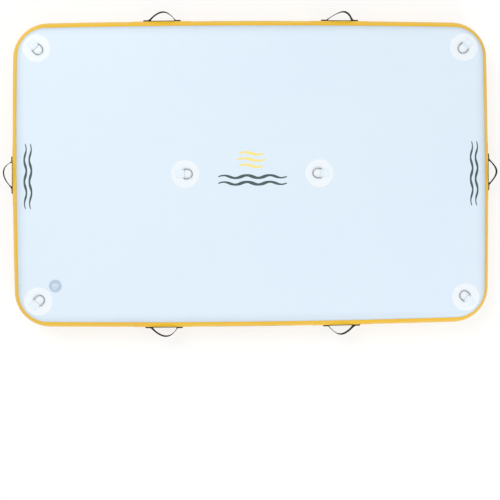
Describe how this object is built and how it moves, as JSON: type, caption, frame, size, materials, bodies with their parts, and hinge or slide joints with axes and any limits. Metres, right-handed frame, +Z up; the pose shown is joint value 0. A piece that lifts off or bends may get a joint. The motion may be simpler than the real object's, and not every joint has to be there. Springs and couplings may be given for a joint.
{
  "type": "inflatable dock platform",
  "caption": "Flat rectangular air deck with rounded yellow sides, webbing carry handles, steel D-rings on round patches and one capped air valve near a corner.",
  "frame": {"origin": "on the floor under the middle of the platform", "axes": "+X along the length, +Y across it to the back, +Z up; the valve is near the front left corner"},
  "size_m": [2.5226, 1.6544, 0.1998],
  "materials": {
    "deck_white": "satin coated fabric",
    "patch_white": "satin coated fabric",
    "base_grey": "satin coated fabric",
    "band_yellow": "glossy coated fabric",
    "wall_grey": "satin coated fabric",
    "yarn_white": "woven polyester",
    "webbing_black": "woven polyester webbing",
    "steel": "polished stainless steel",
    "valve_grey": "moulded nylon",
    "cap_grey": "moulded nylon",
    "rubber_black": "moulded rubber"
  },
  "bodies": {
    "platform": {"deck_skin": "deck_white", "base_skin": "base_grey", "side_band": "band_yellow", "inner_wall": "wall_grey", "deck_seam_tape": "wall_grey", "base_seam_tape": "wall_grey", "drop_stitch_fabric": "yarn_white", "handle_patch_back_left": "band_yellow", "base_strap_back_left": "webbing_black", "handle_patch_back_right": "band_yellow", "base_strap_back_right": "webbing_black", "handle_patch_front_left": "band_yellow", "base_strap_front_left": "webbing_black", "handle_patch_front_right": "band_yellow", "base_strap_front_right": "webbing_black", "handle_patch_left_end": "band_yellow", "base_strap_left_end": "webbing_black", "handle_patch_right_end": "band_yellow", "base_strap_right_end": "webbing_black", "ring_patch_back_left": "patch_white", "keeper_back_left": "patch_white", "ring_patch_back_right": "patch_white", "keeper_back_right": "patch_white", "ring_patch_front_left": "patch_white", "keeper_front_left": "patch_white", "ring_patch_front_right": "patch_white", "keeper_front_right": "patch_white", "ring_patch_middle_left": "patch_white", "keeper_middle_left": "patch_white", "ring_patch_middle_right": "patch_white", "keeper_middle_right": "patch_white", "valve_body": "valve_grey", "valve_gasket": "rubber_black", "valve_nut": "valve_grey", "valve_spring": "steel"},
    "grip_back_left": {"grip_back_left": "webbing_black"},
    "grip_back_right": {"grip_back_right": "webbing_black"},
    "grip_front_left": {"grip_front_left": "webbing_black"},
    "grip_front_right": {"grip_front_right": "webbing_black"},
    "grip_left_end": {"grip_left_end": "webbing_black"},
    "grip_right_end": {"grip_right_end": "webbing_black"},
    "d_ring_back_left": {"d_ring_back_left": "steel"},
    "d_ring_back_right": {"d_ring_back_right": "steel"},
    "d_ring_front_left": {"d_ring_front_left": "steel"},
    "d_ring_front_right": {"d_ring_front_right": "steel"},
    "d_ring_middle_left": {"d_ring_middle_left": "steel"},
    "d_ring_middle_right": {"d_ring_middle_right": "steel"},
    "valve_seal_stack": {"valve_seal": "rubber_black", "seal_plate": "valve_grey"},
    "valve_stem": {"valve_stem": "valve_grey"},
    "cap_ring": {"cap_tether": "rubber_black"},
    "cap": {"valve_cap": "cap_grey", "cap_seal": "rubber_black"}
  },
  "joints": [
    {"name": "grip_back_left_swing", "type": "hinge", "parent": "platform", "child": "grip_back_left", "pos_m": [-0.45215, 0.78776, 0.095], "axis": [1, 0.0078, 0], "range_deg": [-40, 40]},
    {"name": "grip_back_right_swing", "type": "hinge", "parent": "platform", "child": "grip_back_right", "pos_m": [0.45215, 0.78776, 0.095], "axis": [1, -0.0078, 0], "range_deg": [-40, 40]},
    {"name": "grip_front_left_swing", "type": "hinge", "parent": "platform", "child": "grip_front_left", "pos_m": [-0.45215, -0.78776, 0.095], "axis": [-1, 0.0078, 0], "range_deg": [-40, 40]},
    {"name": "grip_front_right_swing", "type": "hinge", "parent": "platform", "child": "grip_front_right", "pos_m": [0.45215, -0.78776, 0.095], "axis": [-1, -0.0078, 0], "range_deg": [-40, 40]},
    {"name": "grip_left_end_swing", "type": "hinge", "parent": "platform", "child": "grip_left_end", "pos_m": [-1.22193, 0, 0.095], "axis": [0, 1, 0], "range_deg": [-40, 40]},
    {"name": "grip_right_end_swing", "type": "hinge", "parent": "platform", "child": "grip_right_end", "pos_m": [1.22193, 0, 0.095], "axis": [0, -1, 0], "range_deg": [-40, 40]},
    {"name": "d_ring_back_left_lift", "type": "hinge", "parent": "platform", "child": "d_ring_back_left", "pos_m": [-1.07566, 0.63466, 0.1958], "axis": [-0.7071, -0.7071, 0], "range_deg": [0, 178]},
    {"name": "d_ring_back_right_lift", "type": "hinge", "parent": "platform", "child": "d_ring_back_right", "pos_m": [1.07566, 0.63466, 0.1958], "axis": [-0.7071, 0.7071, 0], "range_deg": [0, 178]},
    {"name": "d_ring_front_left_lift", "type": "hinge", "parent": "platform", "child": "d_ring_front_left", "pos_m": [-1.07566, -0.63466, 0.1958], "axis": [0.7071, -0.7071, 0], "range_deg": [0, 178]},
    {"name": "d_ring_front_right_lift", "type": "hinge", "parent": "platform", "child": "d_ring_front_right", "pos_m": [1.07566, -0.63466, 0.1958], "axis": [0.7071, 0.7071, 0], "range_deg": [0, 178]},
    {"name": "d_ring_middle_left_lift", "type": "hinge", "parent": "platform", "child": "d_ring_middle_left", "pos_m": [-0.3439, 0, 0.1958], "axis": [0, -1, 0], "range_deg": [0, 178]},
    {"name": "d_ring_middle_right_lift", "type": "hinge", "parent": "platform", "child": "d_ring_middle_right", "pos_m": [0.3439, 0, 0.1958], "axis": [0, 1, 0], "range_deg": [0, 178]},
    {"name": "valve_press", "type": "slide", "parent": "platform", "child": "valve_seal_stack", "axis": [0, 0, -1], "range_m": [0, 0.005], "stiffness_N_per_m": 800, "springref_m": -0.004, "deforming": ["valve_spring"]},
    {"name": "valve_turn", "type": "hinge", "parent": "valve_seal_stack", "child": "valve_stem", "pos_m": [-0.985, -0.553, 0.19], "axis": [0, 0, 1], "range_deg": [0, 90]},
    {"name": "cap_lift", "type": "slide", "parent": "platform", "child": "cap_ring", "axis": [0, 0, 1], "range_m": [0, 0.006], "deforming": ["cap_tether"]},
    {"name": "cap_turn", "type": "hinge", "parent": "cap_ring", "child": "cap", "pos_m": [-0.985, -0.553, 0.19], "axis": [0, 0, 1], "range_deg": [0, 540]}
  ],
  "couplings": [
    {"joint": "cap_lift", "follows": "cap_turn", "m_per_rad": 0.000636}
  ]
}
